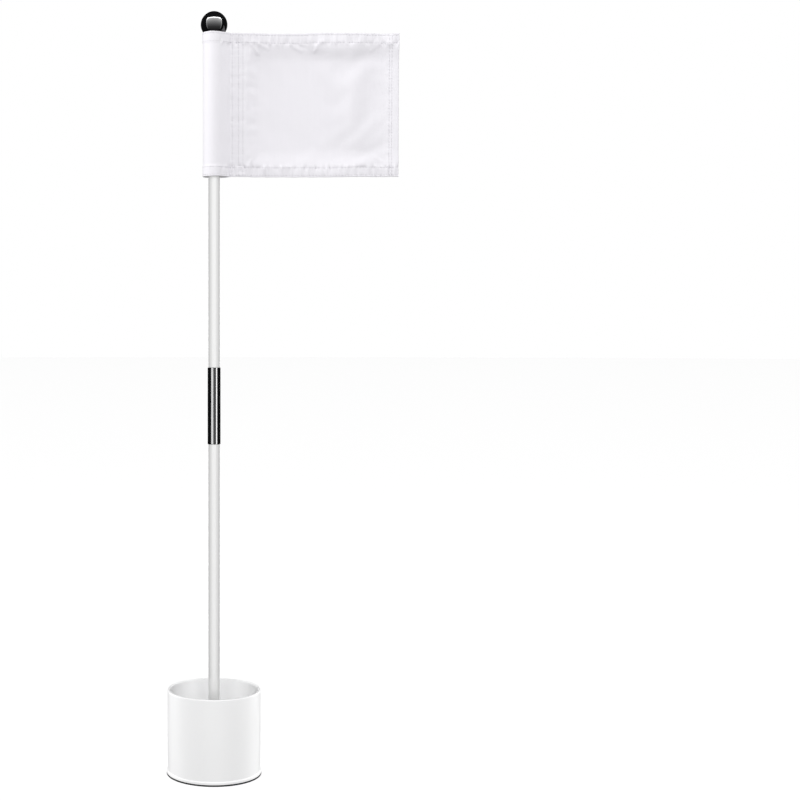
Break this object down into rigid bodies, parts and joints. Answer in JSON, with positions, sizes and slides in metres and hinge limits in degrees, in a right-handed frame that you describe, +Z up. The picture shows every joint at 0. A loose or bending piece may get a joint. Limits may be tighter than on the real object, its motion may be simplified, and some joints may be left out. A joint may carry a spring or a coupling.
{
  "type": "golf flagstick",
  "caption": "Practice-green golf flagstick: two-piece white pole with a black joint, plain white tube flag and black ball knob, standing in a round white cup.",
  "frame": {"origin": "middle of the base pad's underside, on the pole's axis", "axes": "+Z up along the pole, +X from the pole towards the flag's fly edge, so -Y is the side that the picture shows"},
  "size_m": [0.2604, 0.1078, 0.8595],
  "materials": {
    "pad_rubber": "matt black rubber",
    "cup_plastic": "smooth semi-gloss white moulding",
    "tip_plastic": "matt black moulding",
    "fibreglass": "white pultruded fibreglass, lengthwise fibre grain under a semi-gloss skin",
    "ferrule_enamel": "gloss black enamel on metal tube",
    "stud_steel": "zinc plated",
    "brass": "turned brass",
    "nylon": "natural nylon",
    "tube_plastic": "white extruded and moulded plastic",
    "flag_cloth": "plain-weave white nylon with sewn hems",
    "ball_plastic": "polished black moulding"
  },
  "bodies": {
    "cup": {"base_pad": "pad_rubber", "cup_shell": "cup_plastic", "cup_floor": "cup_plastic"},
    "lower_pole": {"rod_tip": "tip_plastic", "lower_rod": "fibreglass", "joint_ferrule": "ferrule_enamel"},
    "upper_pole": {"upper_rod": "fibreglass", "top_stud": "stud_steel", "thrust_washer": "nylon", "spacer_collar": "brass"},
    "flag_hoist": {"flag_tube": "tube_plastic", "tube_top_cap": "tube_plastic", "tube_bottom_bush": "tube_plastic", "flag_sleeve": "flag_cloth"},
    "flag_fly": {"flag_panel": "flag_cloth"},
    "knob_lift": {"knob_washer": "nylon"},
    "knob": {"ball_knob": "ball_plastic", "knob_insert": "brass"}
  },
  "joints": [
    {"name": "pole_lift", "type": "slide", "parent": "cup", "child": "lower_pole", "axis": [0, 0, 1], "range_m": [0, 0.12]},
    {"name": "section_pull", "type": "slide", "parent": "lower_pole", "child": "upper_pole", "axis": [0, 0, 1], "range_m": [0, 0.045]},
    {"name": "flag_spin", "type": "hinge", "parent": "upper_pole", "child": "flag_hoist", "pos_m": [0, 0, 0.7556], "axis": [0, 0, 1], "continuous": true},
    {"name": "flag_swing", "type": "hinge", "parent": "flag_hoist", "child": "flag_fly", "pos_m": [0.0343, 0, 0.7556], "axis": [0, 0, 1], "range_deg": [-75, 75]},
    {"name": "knob_rise", "type": "slide", "parent": "upper_pole", "child": "knob_lift", "axis": [0, 0, 1], "range_m": [0, 0.01]},
    {"name": "knob_turn", "type": "hinge", "parent": "knob_lift", "child": "knob", "pos_m": [0, 0, 0.8445], "axis": [0, 0, 1], "range_deg": [0, 3600]}
  ],
  "couplings": [
    {"joint": "knob_rise", "follows": "knob_turn", "m_per_rad": 0.00015915}
  ]
}
